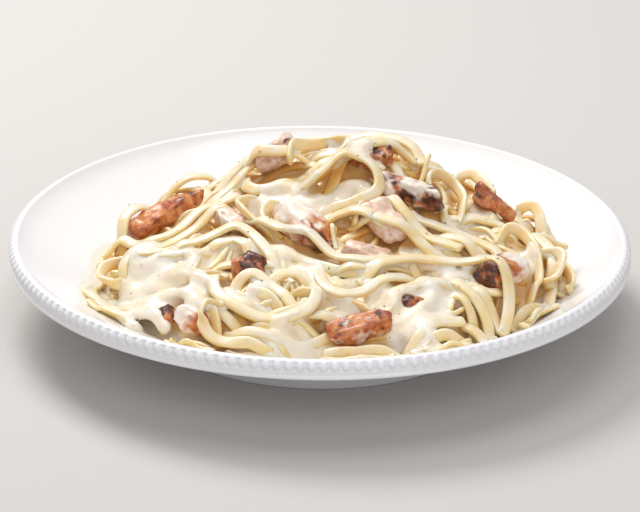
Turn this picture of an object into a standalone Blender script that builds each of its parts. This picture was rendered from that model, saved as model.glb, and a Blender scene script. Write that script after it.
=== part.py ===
"""Fettuccine alfredo with grilled chicken on its round white plate.

Z is up and the origin is on the table under the plate's centre.  The pasta heap, the cream under it
and every piece of chicken are separate closed solids that rest against each other with a small gap.
"""

from math import atan2, cos, exp, hypot, pi, radians, sin
import random

import bmesh
import bpy
from mathutils import Matrix, Vector

MM = 0.001
GAP = 0.3 * MM  # clearance between flat or small pieces that touch
WELL_GAP = 0.6 * MM  # clearance over the plate's well, whose facets cut across its curve

# Plate
RIM_RADIUS = 150 * MM
RIM_HEIGHT = 44 * MM
LIP_RADIUS = 147 * MM  # crest of the lip, inside the down-turned band
BAND_DROP = 8 * MM
FLOOR_RADIUS = 60 * MM  # flat middle of the well
FLOOR_HEIGHT = 9.5 * MM
WELL_CURVE = 1.7
WALL = 4.8 * MM
FOOT_RADIUS = 84 * MM
FOOT_WIDTH = 5 * MM
FOOT_RECESS = 4.6 * MM
PLATE_STEPS = 50
BEADS = 180
BEAD_RADIUS = 1.7 * MM
BEAD_LENGTH = 2.5 * MM
BEAD_STAND = 0.35  # share of its radius that a bead's middle stands proud of the band

# Pasta heap
HEAP_CENTRE = (4 * MM, 0.0)
HEAP_RADIUS = 113 * MM
HEAP_SHOULDER = 55 * MM  # height of the broad dome above the table
PEAK_RISE = 23 * MM
PEAK_CENTRE = (20 * MM, 27 * MM)
PEAK_SPREAD = (50 * MM, 45 * MM)
EDGE_THICKNESS = 3 * MM
HEAP_SEGMENTS = 52
HEAP_RINGS = 20

# Cream that has run out under the heap
POOL_CENTRE = (-14 * MM, -14 * MM)
POOL_RADIUS = 104 * MM
POOL_DEPTH = 2.6 * MM
POOL_SEGMENTS = 36
POOL_RINGS = 12
HEAP_CLEARANCE = 1.0 * MM  # between the cream and the underside of the heap

# Chicken: name, centre x, centre y, sink below the heap's surface, length, width, thickness, then the
# direction of its length on the heap and its roll about that length, both in degrees
CHICKEN = (
    ("strip_left", -75, 13, -0.5, 46, 13, 10, 44, 20),
    ("charred_lump", -32, -57, 0.0, 16, 14, 12, -24, 0),
    ("bit_front_left", -71, -77, 0.5, 11, 8, 8, -82, 0),
    ("chunk_front_left", -57, -90, -0.5, 23, 13, 11, -44, 15),
    ("chunk_centre", -6, -31, -1.0, 37, 17, 13, -60, 0),
    ("chunk_top_left", -20, 29, -4.5, 23, 16, 14, 5, 0),
    ("piece_top", 25, 14, -2.0, 22, 11, 10, 0, 0),
    ("strip_top_right", 44, -3, -1.5, 39, 13, 11, -27, -25),
    ("piece_pale", 31, -28, -1.0, 24, 14, 9, -60, 0),
    ("piece_right_back", 85, 15, -2.0, 22, 10, 9, 5, 0),
    ("chunk_right", 87, -48, -2.0, 24, 18, 13, 46, -10),
    ("piece_front", 19, -97, 0.0, 29, 15, 11, 19, 0),
    ("bit_front", 43, -82, -0.5, 10, 7, 7, 0, 0),
    ("piece_pink", 22, -49, 0.0, 21, 12, 9, -9, 0),
    ("bit_left", -43, -15, -0.5, 17, 10, 8, -48, 0),
)
CUT_UNEVENNESS = 0.13  # how far a corner of a cut piece moves, as a share of the piece
CAGE_SCALE = 1.2  # the cage is larger than the rounded piece inside it
POCKET_GROWTH = 4 * GAP  # how much wider than its piece a pocket's cage is


def clear_scene():
    for item in list(bpy.data.objects):
        bpy.data.objects.remove(item, do_unlink=True)


def make_collection(name):
    made = bpy.data.collections.new(name)
    bpy.context.scene.collection.children.link(made)
    return made


def make_material(name, colour, roughness):
    made = bpy.data.materials.new(name)
    made.use_nodes = True
    shader = made.node_tree.nodes["Principled BSDF"]
    shader.inputs["Base Color"].default_value = (*colour, 1)
    shader.inputs["Roughness"].default_value = roughness
    shader.inputs["Metallic"].default_value = 0
    made.diffuse_color = (*colour, 1)
    return made


def make_object(name, mesh, collection, material=None):
    made = bpy.data.objects.new(name, mesh)
    collection.objects.link(made)
    if material:
        mesh.materials.append(material)
        mesh.shade_smooth()
    return made


def mesh_from(name, shape):
    bmesh.ops.recalc_face_normals(shape, faces=shape.faces)
    mesh = bpy.data.meshes.new(name)
    shape.to_mesh(mesh)
    shape.free()
    return mesh


def subtract(target, cutter, operation="DIFFERENCE"):
    cutter.hide_render = True
    cutter.display_type = "WIRE"
    cut = target.modifiers.new(cutter.name, "BOOLEAN")
    cut.operation = operation
    cut.object = cutter


def well_height(radius):
    """Height of the plate's upper surface: flat in the middle, then curving up to the lip."""
    out = max(0.0, radius - FLOOR_RADIUS) / (LIP_RADIUS - FLOOR_RADIUS)
    return FLOOR_HEIGHT + (RIM_HEIGHT - FLOOR_HEIGHT) * min(out, 1.0) ** WELL_CURVE


def plate_profile():
    """Half section of the plate, from the middle of the well out over the lip and back underneath."""
    inside = [0, 0.41, 0.52, 0.63, 0.74, 0.84, 0.93]
    upper = [(share * LIP_RADIUS, well_height(share * LIP_RADIUS)) for share in inside]
    lip = [
        (LIP_RADIUS - 2.6 * MM, RIM_HEIGHT - 1.0 * MM),
        (LIP_RADIUS - 0.6 * MM, RIM_HEIGHT),
        (LIP_RADIUS + 0.7 * MM, RIM_HEIGHT - 0.3 * MM),
        (RIM_RADIUS, RIM_HEIGHT - BAND_DROP),
        (RIM_RADIUS - 0.7 * MM, RIM_HEIGHT - BAND_DROP - 1 * MM),
        (RIM_RADIUS - 3.4 * MM, RIM_HEIGHT - BAND_DROP),
    ]
    outside = [0.94, 0.84, 0.73, 0.63]
    under = [(share * LIP_RADIUS, well_height(share * LIP_RADIUS) - WALL) for share in outside]
    foot_inside = FOOT_RADIUS - FOOT_WIDTH
    foot = [
        (FOOT_RADIUS + 1.2 * MM, well_height(FOOT_RADIUS) - WALL),
        (FOOT_RADIUS, 0.8 * MM),
        (FOOT_RADIUS - 0.8 * MM, 0.0),
        (foot_inside + 0.8 * MM, 0.0),
        (foot_inside, 0.8 * MM),
        (foot_inside - 1.2 * MM, FOOT_RECESS),
        (0.0, FOOT_RECESS),
    ]
    return upper + lip + under + foot


def band_point(down):
    """A point of the band, with down running from 0 at the lip to 1 at its lower edge."""
    start = Vector((LIP_RADIUS + 0.7 * MM, 0, RIM_HEIGHT - 0.3 * MM))
    end = Vector((RIM_RADIUS, 0, RIM_HEIGHT - BAND_DROP))
    return start.lerp(end, down), (end - start).normalized()


def make_bead_row(collection):
    """The row of small teardrops on the upper part of the band, as one ring of loose bodies."""
    middle, along = band_point(0.36)
    outward = Vector((-along.z, 0, along.x))
    outward = outward if outward.x > 0 else -outward
    middle = middle + outward * BEAD_STAND * BEAD_RADIUS
    lean = Matrix((outward, Vector((0, 1, 0)), -along)).transposed().to_4x4()
    stretch = Matrix.Diagonal((BEAD_RADIUS, BEAD_RADIUS, BEAD_LENGTH, 1))
    shape = bmesh.new()
    for number in range(BEADS):
        turn = Matrix.Rotation(2 * pi * (number + 0.5) / BEADS, 4, "Z")
        place = turn @ Matrix.Translation(middle) @ lean @ stretch
        bmesh.ops.create_uvsphere(shape, u_segments=4, v_segments=2, radius=1, matrix=place)
    return make_object("bead_row", mesh_from("bead_row", shape), collection)


def make_plate(parts, cutters):
    """Turned porcelain plate with a foot ring and a beaded, down-turned rim."""
    profile = plate_profile()
    mesh = bpy.data.meshes.new("plate")
    edges = [(i, i + 1) for i in range(len(profile) - 1)]
    mesh.from_pydata([(radius, 0, height) for radius, height in profile], edges, [])
    plate = make_object("plate", mesh, parts, make_material("glazed_porcelain", (0.9, 0.88, 0.87), 0.15))
    turned = plate.modifiers.new("turned", "SCREW")
    turned.steps = PLATE_STEPS
    turned.render_steps = PLATE_STEPS
    turned.use_merge_vertices = True
    turned.merge_threshold = 0.0001
    turned.use_smooth_shade = True
    subtract(plate, make_bead_row(cutters), "UNION")
    return plate


def heap_radius(angle):
    """Outline of the heap seen from above: a circle with broad and narrow lobes."""
    broad = 4 * cos(angle + 0.6) + 2 * cos(3 * angle + 0.5)
    narrow = 2.2 * cos(7 * angle + 1.1) + 1.3 * cos(12 * angle + 2)
    return HEAP_RADIUS + (broad + narrow) * MM


def pool_radius(angle):
    return POOL_RADIUS + (3 * cos(2 * angle - 0.8) + 2.5 * cos(5 * angle) + 1.2 * cos(9 * angle + 1)) * MM


def pool_share(x, y):
    """Distance from the middle of the cream, with 1 at its outline."""
    away_x, away_y = x - POOL_CENTRE[0], y - POOL_CENTRE[1]
    return hypot(away_x, away_y) / pool_radius(atan2(away_y, away_x))


def pool_top(x, y):
    """Upper surface of the cream: a shallow sheet that thins out to its edge."""
    depth = POOL_DEPTH * max(0.0, 1 - pool_share(x, y) ** 6)
    return well_height(hypot(x, y)) + WELL_GAP + depth


def heap_top(x, y):
    """Upper surface of the heap: a broad dome with a peak behind its middle and lumpy folds."""
    away_x, away_y = x - HEAP_CENTRE[0], y - HEAP_CENTRE[1]
    share = min(1.0, hypot(away_x, away_y) / heap_radius(atan2(away_y, away_x)))
    base = well_height(hypot(x, y)) + EDGE_THICKNESS
    across = ((x - PEAK_CENTRE[0]) / PEAK_SPREAD[0]) ** 2 + ((y - PEAK_CENTRE[1]) / PEAK_SPREAD[1]) ** 2
    dome = HEAP_SHOULDER + PEAK_RISE * exp(-across)
    rise = (1 - share**4) ** 0.62
    folds = 1.6 * sin(x / (7.3 * MM) + 1) * sin(y / (8.1 * MM) + 2) + 1.2 * sin((x + y) / (6.5 * MM))
    return base + (dome - base) * rise + folds * rise * MM


def heap_bottom(x, y):
    """Underside of the heap: on the cream where there is cream, and down on the plate past its edge."""
    lifted = min(1.0, max(0.0, (1.2 - pool_share(x, y)) / 0.1))
    return well_height(hypot(x, y)) + WELL_GAP + (POOL_DEPTH + HEAP_CLEARANCE) * lifted


def make_filled_round(name, segments, rings, outline, centre, top, bottom):
    """A solid between two height functions, made from a sphere whose rings are laid out over the outline.

    The sphere's equator goes to the outline.  Its upper half takes the top surface and its lower
    half the bottom one.
    """
    shape = bmesh.new()
    bmesh.ops.create_uvsphere(shape, u_segments=segments, v_segments=rings, radius=1)
    for vertex in shape.verts:
        unit = vertex.co.copy()
        angle = atan2(unit.y, unit.x)
        share = 1 - (2 / pi) * abs(atan2(unit.z, hypot(unit.x, unit.y)))
        spread = share**0.8
        x = centre[0] + spread * outline(angle) * cos(angle)
        y = centre[1] + spread * outline(angle) * sin(angle)
        rim = (top(x, y) + bottom(x, y)) / 2
        height = top(x, y) if unit.z > 1e-6 else bottom(x, y) if unit.z < -1e-6 else rim
        vertex.co = (x, y, height)
    return mesh_from(name, shape)


def make_sauce_pool(parts):
    """The thin sheet of cream that lies in the well and shows round the heap's front left edge."""
    mesh = make_filled_round(
        "sauce_pool",
        POOL_SEGMENTS,
        POOL_RINGS,
        pool_radius,
        POOL_CENTRE,
        pool_top,
        lambda x, y: well_height(hypot(x, y)) + WELL_GAP,
    )
    return make_object("sauce_pool", mesh, parts, make_material("cream_sauce", (0.86, 0.76, 0.6), 0.3))


def make_heap(parts):
    """The whole heap of sauced noodles as one solid out to its uneven outline."""
    mesh = make_filled_round(
        "pasta_heap", HEAP_SEGMENTS, HEAP_RINGS, heap_radius, HEAP_CENTRE, heap_top, heap_bottom
    )
    return make_object("pasta_heap", mesh, parts, make_material("sauced_pasta", (0.82, 0.68, 0.42), 0.35))


def frame_on_heap(x, y, sink, heading, roll):
    """Axes of a piece that lies on the heap: length along its slope, thickness along its normal."""
    reach = 8 * MM
    slope_x = (heap_top(x + reach, y) - heap_top(x - reach, y)) / (2 * reach)
    slope_y = (heap_top(x, y + reach) - heap_top(x, y - reach)) / (2 * reach)
    normal = Vector((-slope_x, -slope_y, 1)).normalized()
    along = Vector((cos(heading), sin(heading), 0))
    along = (along - normal * along.dot(normal)).normalized()
    across = normal.cross(along)
    turn = Matrix((along, across, normal)).transposed().to_4x4()
    place = Matrix.Translation(Vector((x, y, heap_top(x, y))) - normal * sink)
    return place @ turn @ Matrix.Rotation(roll, 4, "X")


def cut_piece_cage(name, size, seed, grow=0.0):
    """Coarse cage of a torn or cut piece of chicken: a block with one ring round its middle, each
    corner moved a little, and one end narrower than the other."""
    chance = random.Random(seed)
    shape = bmesh.new()
    bmesh.ops.create_cube(shape, size=1)
    lengthwise = [edge for edge in shape.edges if abs(edge.verts[0].co.x - edge.verts[1].co.x) > 0.5]
    bmesh.ops.subdivide_edges(shape, edges=lengthwise, cuts=1, use_grid_fill=True)
    taper = chance.uniform(0.1, 0.3)
    for vertex in sorted(shape.verts, key=lambda corner: tuple(round(part, 3) for part in corner.co)):
        narrow = 1 - taper * (vertex.co.x + 0.5)
        spread = (1, narrow, narrow) if abs(vertex.co.x) > 0.1 else (1, 1.15, 1.1)
        for axis in range(3):
            moved = vertex.co[axis] * spread[axis] + chance.uniform(-1, 1) * CUT_UNEVENNESS
            vertex.co[axis] = moved * (size[axis] + grow)
    return mesh_from(name, shape)


def make_rounded(item):
    rounding = item.modifiers.new("rounding", "SUBSURF")
    rounding.levels = 1
    rounding.render_levels = 1


def make_chicken(parts, cutters, heap):
    """Each piece of grilled chicken, and the pocket that it sits in."""
    material = make_material("grilled_chicken", (0.55, 0.3, 0.2), 0.5)
    for number, (name, x, y, sink, length, width, thickness, heading, roll) in enumerate(CHICKEN):
        size = [CAGE_SCALE * side * MM for side in (length, width, thickness)]
        place = frame_on_heap(x * MM, y * MM, sink * MM, radians(heading), radians(roll))
        node = "chicken_" + name
        piece = make_object(node, cut_piece_cage(node, size, number), parts, material)
        pocket = make_object("pocket_" + name, cut_piece_cage(node, size, number, POCKET_GROWTH), cutters)
        for item in (piece, pocket):
            item.matrix_world = place
            make_rounded(item)
        subtract(heap, pocket)


def main():
    clear_scene()
    parts = make_collection("fettuccine_alfredo")
    cutters = make_collection("cutters")
    make_plate(parts, cutters)
    make_sauce_pool(parts)
    heap = make_heap(parts)
    make_chicken(parts, cutters, heap)


main()
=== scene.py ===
"""Fettuccine alfredo with grilled chicken on its white plate: the looks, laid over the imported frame.

Shapes are worked out in millimetres and written to the meshes in metres.
"""

import bmesh
import bpy
import numpy as np
from mathutils import Matrix, Vector


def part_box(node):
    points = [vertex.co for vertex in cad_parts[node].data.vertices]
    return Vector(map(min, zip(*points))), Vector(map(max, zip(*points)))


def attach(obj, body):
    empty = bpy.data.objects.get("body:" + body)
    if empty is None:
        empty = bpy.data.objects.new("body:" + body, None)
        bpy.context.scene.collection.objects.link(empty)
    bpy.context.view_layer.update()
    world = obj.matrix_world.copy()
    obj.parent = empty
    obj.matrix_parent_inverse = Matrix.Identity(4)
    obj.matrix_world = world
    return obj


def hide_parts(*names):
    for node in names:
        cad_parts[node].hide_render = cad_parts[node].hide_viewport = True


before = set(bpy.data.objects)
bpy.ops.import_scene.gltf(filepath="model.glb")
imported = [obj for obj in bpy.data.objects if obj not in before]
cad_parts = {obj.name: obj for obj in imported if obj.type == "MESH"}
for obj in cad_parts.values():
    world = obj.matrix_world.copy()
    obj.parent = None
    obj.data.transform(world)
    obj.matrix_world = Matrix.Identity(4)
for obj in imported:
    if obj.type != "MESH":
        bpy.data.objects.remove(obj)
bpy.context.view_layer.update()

MM = 0.001

# Plate; its height is the frame's
RIM_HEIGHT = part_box("plate")[1].z / MM
RIM_RADIUS = 150.0
LIP_RADIUS = RIM_RADIUS - 3.0
BAND_DROP = 8.0
FLOOR_RADIUS = 60.0
FLOOR_HEIGHT = 9.5
WELL_CURVE = 1.7
WALL = 4.8
FOOT_RADIUS = 84.0
BEADS = 180
BEAD_RELIEF = 1.3
BEAD_MIDDLE, BEAD_HALF = 0.31, 0.27  # down the band, as shares of it
LINE_AT, LINE_DEPTH = 0.8, 0.35
COLUMNS_PER_BEAD = 10

# Heap
HEAP_CENTRE = (4.0, 0.0)
HEAP_RADIUS = 113.0
HEAP_SHOULDER = 52.5
PEAK = (20.0, 27.0, 24.5)  # across, away, rise
PEAK_SPREAD = (50.0, 45.0)
HEAP_EDGE = 3.0  # height of its edge over the plate
CORE_DEPTH = 12.0  # how far the first strands start below the finished heap
HEAP_FILL = 0.93  # share of the outline that the drawn strands keep to

# Cooked fettuccine
NOODLE_WIDTH = 5.9
NOODLE_THICK = 2.6
ROUTE_STEP = 0.7
STIFF_REACH = 8  # steps
STIFF_ROUNDS = 9
SQUASH = 1.1  # how far a strand presses into those below it
EDGE_ROOM = 6.5  # a strand's greatest height over the plate at the heap's edge
DIVE = 6.0  # how far a strand's end goes down among the others,
DIVE_RUN = 13.0  # and over what length
SPOTS = 14  # random spots, of which a drawn strand goes through the emptiest
ARC_POINTS = 9
LOWER_MESH = {"step": 3, "sides": 8}  # route steps for each ring of points, and points in a ring
UPPER_MESH = {"step": 2, "sides": 12}

# Height map of what already lies on the plate
CELL = 0.8
SPAN = 136.0
GAP_REACH = 4  # cells; the pile's envelope bridges gaps up to twice this
HOLLOW_START, HOLLOW_RANGE = 1.5, 8.0  # how far under the envelope painted shade in hollows starts, and over what range it grows to full
PLATE_GLOW = 12.0  # over the plate, where hollows are lit by it


# ---------------------------------------------------------------- shared helpers


def noise(points, size, seed):
    """Smooth random values from -1 to 1: one random value at each corner of a lattice of the given
    size, blended between corners with the fade 3t^2 - 2t^3."""
    corners = np.random.default_rng(seed).uniform(-1, 1, (32, 32, 32))
    place = np.asarray(points, float) / size + 64.37
    cell = np.floor(place).astype(int)
    part = place - cell
    part = part * part * (3 - 2 * part)
    total = np.zeros(place.shape[:-1])
    for corner in np.ndindex(2, 2, 2):
        share = np.prod(np.where(corner, part, 1 - part), axis=-1)
        at = (cell + corner) % 32
        total += share * corners[at[..., 0], at[..., 1], at[..., 2]]
    return total


def blend(low, high, value):
    """0 below low, 1 above high, and the fade 3t^2 - 2t^3 between them."""
    part = np.clip((value - low) / (high - low), 0, 1)
    return part * part * (3 - 2 * part)


def tube_faces(rows, columns, start=0):
    """Quads of a grid of points whose columns close into a ring, and one face over each end.  The
    points are numbered from start."""
    across = start + np.arange(columns)
    beside = start + (np.arange(columns) + 1) % columns
    down = np.arange(rows - 1)[:, None] * columns
    first, second = (down + across).ravel(), (down + beside).ravel()
    quads = np.stack([first, second, second + columns, first + columns], axis=1).tolist()
    return quads + [across[::-1].tolist(), (across + (rows - 1) * columns).tolist()]


def make_piece(name, points, faces, material, slot, *nodes):
    """Mesh object from points in mm, riding on the root body and standing for the named CAD nodes.
    With no slot it is part of the studio and rides on nothing."""
    mesh = bpy.data.meshes.new(name)
    mesh.from_pydata((np.asarray(points) * MM).tolist(), [], faces)
    mesh.shade_smooth()
    mesh.materials.append(material)
    made = bpy.data.objects.new(name, mesh)
    bpy.context.scene.collection.objects.link(made)
    if slot:
        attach(made, "root")
    if nodes:
        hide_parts(*nodes)
    return made


def store_values(made, name, values):
    """Keeps one value for each of a mesh's points, for its material to read."""
    layer = made.data.attributes.new(name, "FLOAT", "POINT")
    layer.data.foreach_set("value", values.astype(np.float32))


# ---------------------------------------------------------------- materials

PEPPER_SPACING = 6.5  # between the fine specks in the cream


def srgb(code):
    """Linear colour of an sRGB hex value."""
    parts = [int(code[i : i + 2], 16) / 255 for i in (1, 3, 5)]
    return (*[p / 12.92 if p <= 0.04045 else ((p + 0.055) / 1.055) ** 2.4 for p in parts], 1)


def set_inputs(tree, node, inputs):
    """Sets each input to its value, or links it where that is a socket."""
    for name, value in inputs.items():
        if isinstance(value, bpy.types.NodeSocket):
            tree.links.new(value, node.inputs[name])
        else:
            node.inputs[name].default_value = value


def add_node(tree, kind, inputs, stops=(), **settings):
    """Adds a node with its settings and inputs, and a colour ramp's stops as (position, hex value)."""
    made = tree.nodes.new(kind)
    for name, value in settings.items():
        setattr(made, name, value)
    set_inputs(tree, made, inputs)
    if stops:
        points = made.color_ramp.elements
        while len(points) < len(stops):
            points.new(0.5)
        for point, (position, code) in zip(points, stops):
            point.position, point.color = position, srgb(code)
    return made


def start_material(name):
    made = bpy.data.materials.new(name)
    made.use_nodes = True
    tree = made.node_tree
    return made, tree, tree.nodes["Principled BSDF"]


def pattern(tree, size_mm, detail=2, roughness=0.5):
    """Noise on Object coordinates whose blotches are about size_mm across."""
    place = add_node(tree, "ShaderNodeTexCoord", {}).outputs["Object"]
    inputs = {"Vector": place, "Scale": 1 / (size_mm * MM), "Detail": detail, "Roughness": roughness}
    return add_node(tree, "ShaderNodeTexNoise", inputs).outputs["Fac"]


def facing_up(tree):
    """0 on faces that look straight down, 1 on faces that look straight up."""
    place = add_node(tree, "ShaderNodeTexCoord", {})
    parts = add_node(tree, "ShaderNodeSeparateXYZ", {"Vector": place.outputs["Normal"]})
    fitted = add_node(tree, "ShaderNodeMapRange", {"Value": parts.outputs["Z"], "From Min": -1})
    return fitted.outputs["Result"]


def mottled(tree, blotches, *stops):
    """Colour that varies through the stops over a pattern."""
    made = add_node(tree, "ShaderNodeValToRGB", {"Fac": pattern(tree, **blotches)}, stops)
    return made.outputs["Color"]


def painted_hollow_shade(tree, colour, *stops):
    """Painted shade: the colour multiplied by that of the stops at the mesh's own depth in hollows."""
    hollow_shade = add_node(tree, "ShaderNodeAttribute", {}, attribute_name="hollow_shade")
    deep = add_node(tree, "ShaderNodeValToRGB", {"Fac": hollow_shade.outputs["Fac"]}, stops)
    made = add_node(
        tree,
        "ShaderNodeMix",
        {0: 1.0, 6: colour, 7: deep.outputs["Color"]},
        data_type="RGBA",
        blend_type="MULTIPLY",
    )
    return made.outputs[2]


def finish_material(tree, shader, size_mm, detail, strength, relief_mm, inputs):
    """Sets the shader's inputs, and a bump of that strength and relief from a pattern of that size."""
    height = pattern(tree, size_mm, detail)
    relief = {"Height": height, "Strength": strength, "Distance": relief_mm * MM}
    bump = add_node(tree, "ShaderNodeBump", relief)
    set_inputs(tree, shader, {**inputs, "Normal": bump.outputs["Normal"]})


def glazed_porcelain():
    """Hard porcelain under a clear gloss glaze: bright white with sharp, faintly wavy highlights."""
    made, tree, shader = start_material("glazed_porcelain")
    finish = {
        "Base Color": mottled(tree, {"size_mm": 60}, (0.3, "#EEEEEF"), (0.7, "#F4F4F5")),
        "Roughness": 0.16,
        "IOR": 1.5,
    }
    finish_material(tree, shader, 22, 2, 0.05, 1, finish)
    return made


def boiled_fettuccine():
    """Rolled egg pasta, boiled and tossed in cream: pale yellow, soft and translucent, with a thin wet
    coat of cream that whitens it in patches, more on faces that look up as painted light from above,
    painted shade in hollows, and a faint grain from the dough."""
    made, tree, shader = start_material("boiled_fettuccine")
    dough = mottled(tree, {"size_mm": 16}, (0.3, "#EAC97F"), (0.5, "#EFD495"), (0.7, "#F2DEAE"))
    # Faces that look up take more of the white coat: painted light from above, on top of the patches of
    # cream.
    top_light_and_coat = add_node(
        tree, "ShaderNodeMath", {0: facing_up(tree), 1: pattern(tree, 9, 3)}, operation="ADD"
    )
    film_and_top_light = add_node(
        tree,
        "ShaderNodeMapRange",
        {"Value": top_light_and_coat.outputs["Value"], "From Min": 1.15, "From Max": 1.55, "To Max": 0.85},
    )
    coat_and_top_light = add_node(
        tree,
        "ShaderNodeMix",
        {0: film_and_top_light.outputs["Result"], 6: dough, 7: srgb("#F2E8D2")},
        data_type="RGBA",
    )
    # Painted shade: the pasta goes darker and warmer yellow deeper in the heap's hollows.
    shade_stops = (0.1, "#FFFFFF"), (0.5, "#FAE3B0"), (0.95, "#ECC484")
    finish = {
        "Base Color": painted_hollow_shade(tree, coat_and_top_light.outputs[2], *shade_stops),
        "Roughness": 0.34,
        "IOR": 1.42,
        "Subsurface Weight": 0.35,
        "Subsurface Radius": (1.0, 0.55, 0.25),
        "Subsurface Scale": 0.004,
        "Coat Weight": 0.35,
        "Coat Roughness": 0.18,
    }
    finish_material(tree, shader, 3, 3, 0.5, 0.6, finish)
    return made


def cream_sauce(name, *shades):
    """Butter, cream and melted cheese: opaque ivory, smooth and wet, with fine ground pepper in it."""
    made, tree, shader = start_material(name)
    cream = mottled(tree, {"size_mm": 18}, *zip((0.3, 0.5, 0.7), shades))
    place = add_node(tree, "ShaderNodeTexCoord", {}).outputs["Object"]
    spots = add_node(
        tree, "ShaderNodeTexVoronoi", {"Vector": place, "Scale": 1 / (PEPPER_SPACING * MM)}
    )
    pepper = add_node(
        tree,
        "ShaderNodeValToRGB",
        {"Fac": spots.outputs["Distance"]},
        ((0.0, "#FFFFFF"), (0.045, "#FFFFFF"), (0.075, "#000000")),
    )
    speckled = add_node(
        tree,
        "ShaderNodeMix",
        {0: pepper.outputs["Color"], 6: cream, 7: srgb("#8A6A4C")},
        data_type="RGBA",
    )
    # Painted shade: the cream goes darker and warmer deeper in the heap's hollows.
    shade_stops = (0.25, "#FFFFFF"), (0.65, "#F7E5C2"), (1.0, "#E9C790")
    finish = {
        "Base Color": painted_hollow_shade(tree, speckled.outputs[2], *shade_stops),
        "Roughness": 0.3,
        "IOR": 1.45,
        "Subsurface Weight": 0.35,
        "Subsurface Radius": (1.0, 0.7, 0.45),
        "Subsurface Scale": 0.003,
        "Coat Weight": 0.4,
        "Coat Roughness": 0.14,
    }
    finish_material(tree, shader, 4.5, 3, 0.6, 1, finish)
    return made


def grilled_chicken():
    """Chicken breast, marinated, grilled and cut: pale pink fibrous flesh, an orange-brown seared
    skin with blackened marks, and cream sauce clinging to some of it."""
    made, tree, shader = start_material("grilled_chicken")
    colour = mottled(
        tree, {"size_mm": 3, "detail": 5}, (0.3, "#CFA184"), (0.5, "#E2C0A6"), (0.72, "#F0DCC9")
    )
    layers = {
        "sear": mottled(
            tree,
            {"size_mm": 5, "detail": 5, "roughness": 0.6},
            (0.3, "#84391B"),
            (0.43, "#B45E2E"),
            (0.56, "#D38446"),
            (0.72, "#E5B080"),
        ),
        "char": mottled(tree, {"size_mm": 1.6, "detail": 5}, (0.35, "#341A14"), (0.7, "#7A402E")),
        "cream": mottled(tree, {"size_mm": 6}, (0.3, "#EBD9C6"), (0.7, "#F6ECE0")),
    }
    for mask, over in layers.items():
        share = add_node(tree, "ShaderNodeAttribute", {}, attribute_name=mask).outputs["Fac"]
        colour = add_node(
            tree, "ShaderNodeMix", {0: share, 6: colour, 7: over}, data_type="RGBA"
        ).outputs[2]
    gloss = add_node(
        tree, "ShaderNodeMapRange", {"Value": pattern(tree, 4, 3), "To Min": 0.25, "To Max": 0.5}
    )
    finish = {
        "Base Color": colour,
        "Roughness": gloss.outputs["Result"],
        "Subsurface Weight": 0.15,
        "Subsurface Radius": (1.0, 0.4, 0.25),
        "Subsurface Scale": 0.002,
        "Coat Weight": 0.3,
        "Coat Roughness": 0.2,
    }
    finish_material(tree, shader, 2.2, 4, 0.6, 0.8, finish)
    return made


def ground_pepper():
    """Coarsely ground black pepper: dull brown-black flakes."""
    made, tree, shader = start_material("ground_pepper")
    tint = mottled(tree, {"size_mm": 1.2}, (0.35, "#3A2A20"), (0.65, "#7A5C42"))
    set_inputs(tree, shader, {"Base Color": tint, "Roughness": 0.6})
    return made


# ---------------------------------------------------------------- plate


def well_height(radius):
    """Height of the plate's upper face: flat to FLOOR_RADIUS, then a power curve up to the lip."""
    out = np.clip((radius - FLOOR_RADIUS) / (LIP_RADIUS - FLOOR_RADIUS), 0, 1)
    return FLOOR_HEIGHT + (RIM_HEIGHT - FLOOR_HEIGHT) * out**WELL_CURVE


def plate_section():
    """Half section, from the middle of the well out over the lip and back to the middle underneath,
    as (radius, height, share of the band), where the last is negative off the band."""
    inside = np.concatenate([[0.01, 30], np.linspace(56, LIP_RADIUS - 3.2, 13)])
    upper = np.stack([inside, well_height(inside), -np.ones_like(inside)], axis=1)
    turn = np.radians([150, 115, 80, 45])
    crest = (LIP_RADIUS - 0.9, RIM_HEIGHT - 1.5)
    lip = [(crest[0] + 1.6 * np.cos(a), crest[1] + 1.5 * np.sin(a), -1) for a in turn]
    share = np.linspace(0, 1, 15)
    top = (LIP_RADIUS + 0.7, RIM_HEIGHT - 0.5)
    band = [
        (top[0] + (RIM_RADIUS - top[0]) * s, top[1] - (BAND_DROP - 0.5) * s, s) for s in share
    ]
    edge = [
        (RIM_RADIUS - 0.2, RIM_HEIGHT - BAND_DROP - 0.7, -1),
        (RIM_RADIUS - 1.2, RIM_HEIGHT - BAND_DROP - 0.9, -1),
        (RIM_RADIUS - 3.2, RIM_HEIGHT - BAND_DROP, -1),
    ]
    outside = np.linspace(LIP_RADIUS - 8, FOOT_RADIUS + 4, 8)
    under = np.stack([outside, well_height(outside) - WALL, -np.ones_like(outside)], axis=1)
    foot_top = well_height(FOOT_RADIUS) - WALL
    foot = [
        (FOOT_RADIUS + 1.0, foot_top - 0.4, -1),
        (FOOT_RADIUS + 0.2, foot_top - 2.0, -1),
        (FOOT_RADIUS, 0.9, -1),
        (FOOT_RADIUS - 0.9, 0.02, -1),
        (FOOT_RADIUS - 4.1, 0.02, -1),
        (FOOT_RADIUS - 5.0, 0.9, -1),
        (FOOT_RADIUS - 6.2, 4.6, -1),
        (0.01, 4.6, -1),
    ]
    return np.concatenate([upper, lip, band, edge, under, foot])


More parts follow.
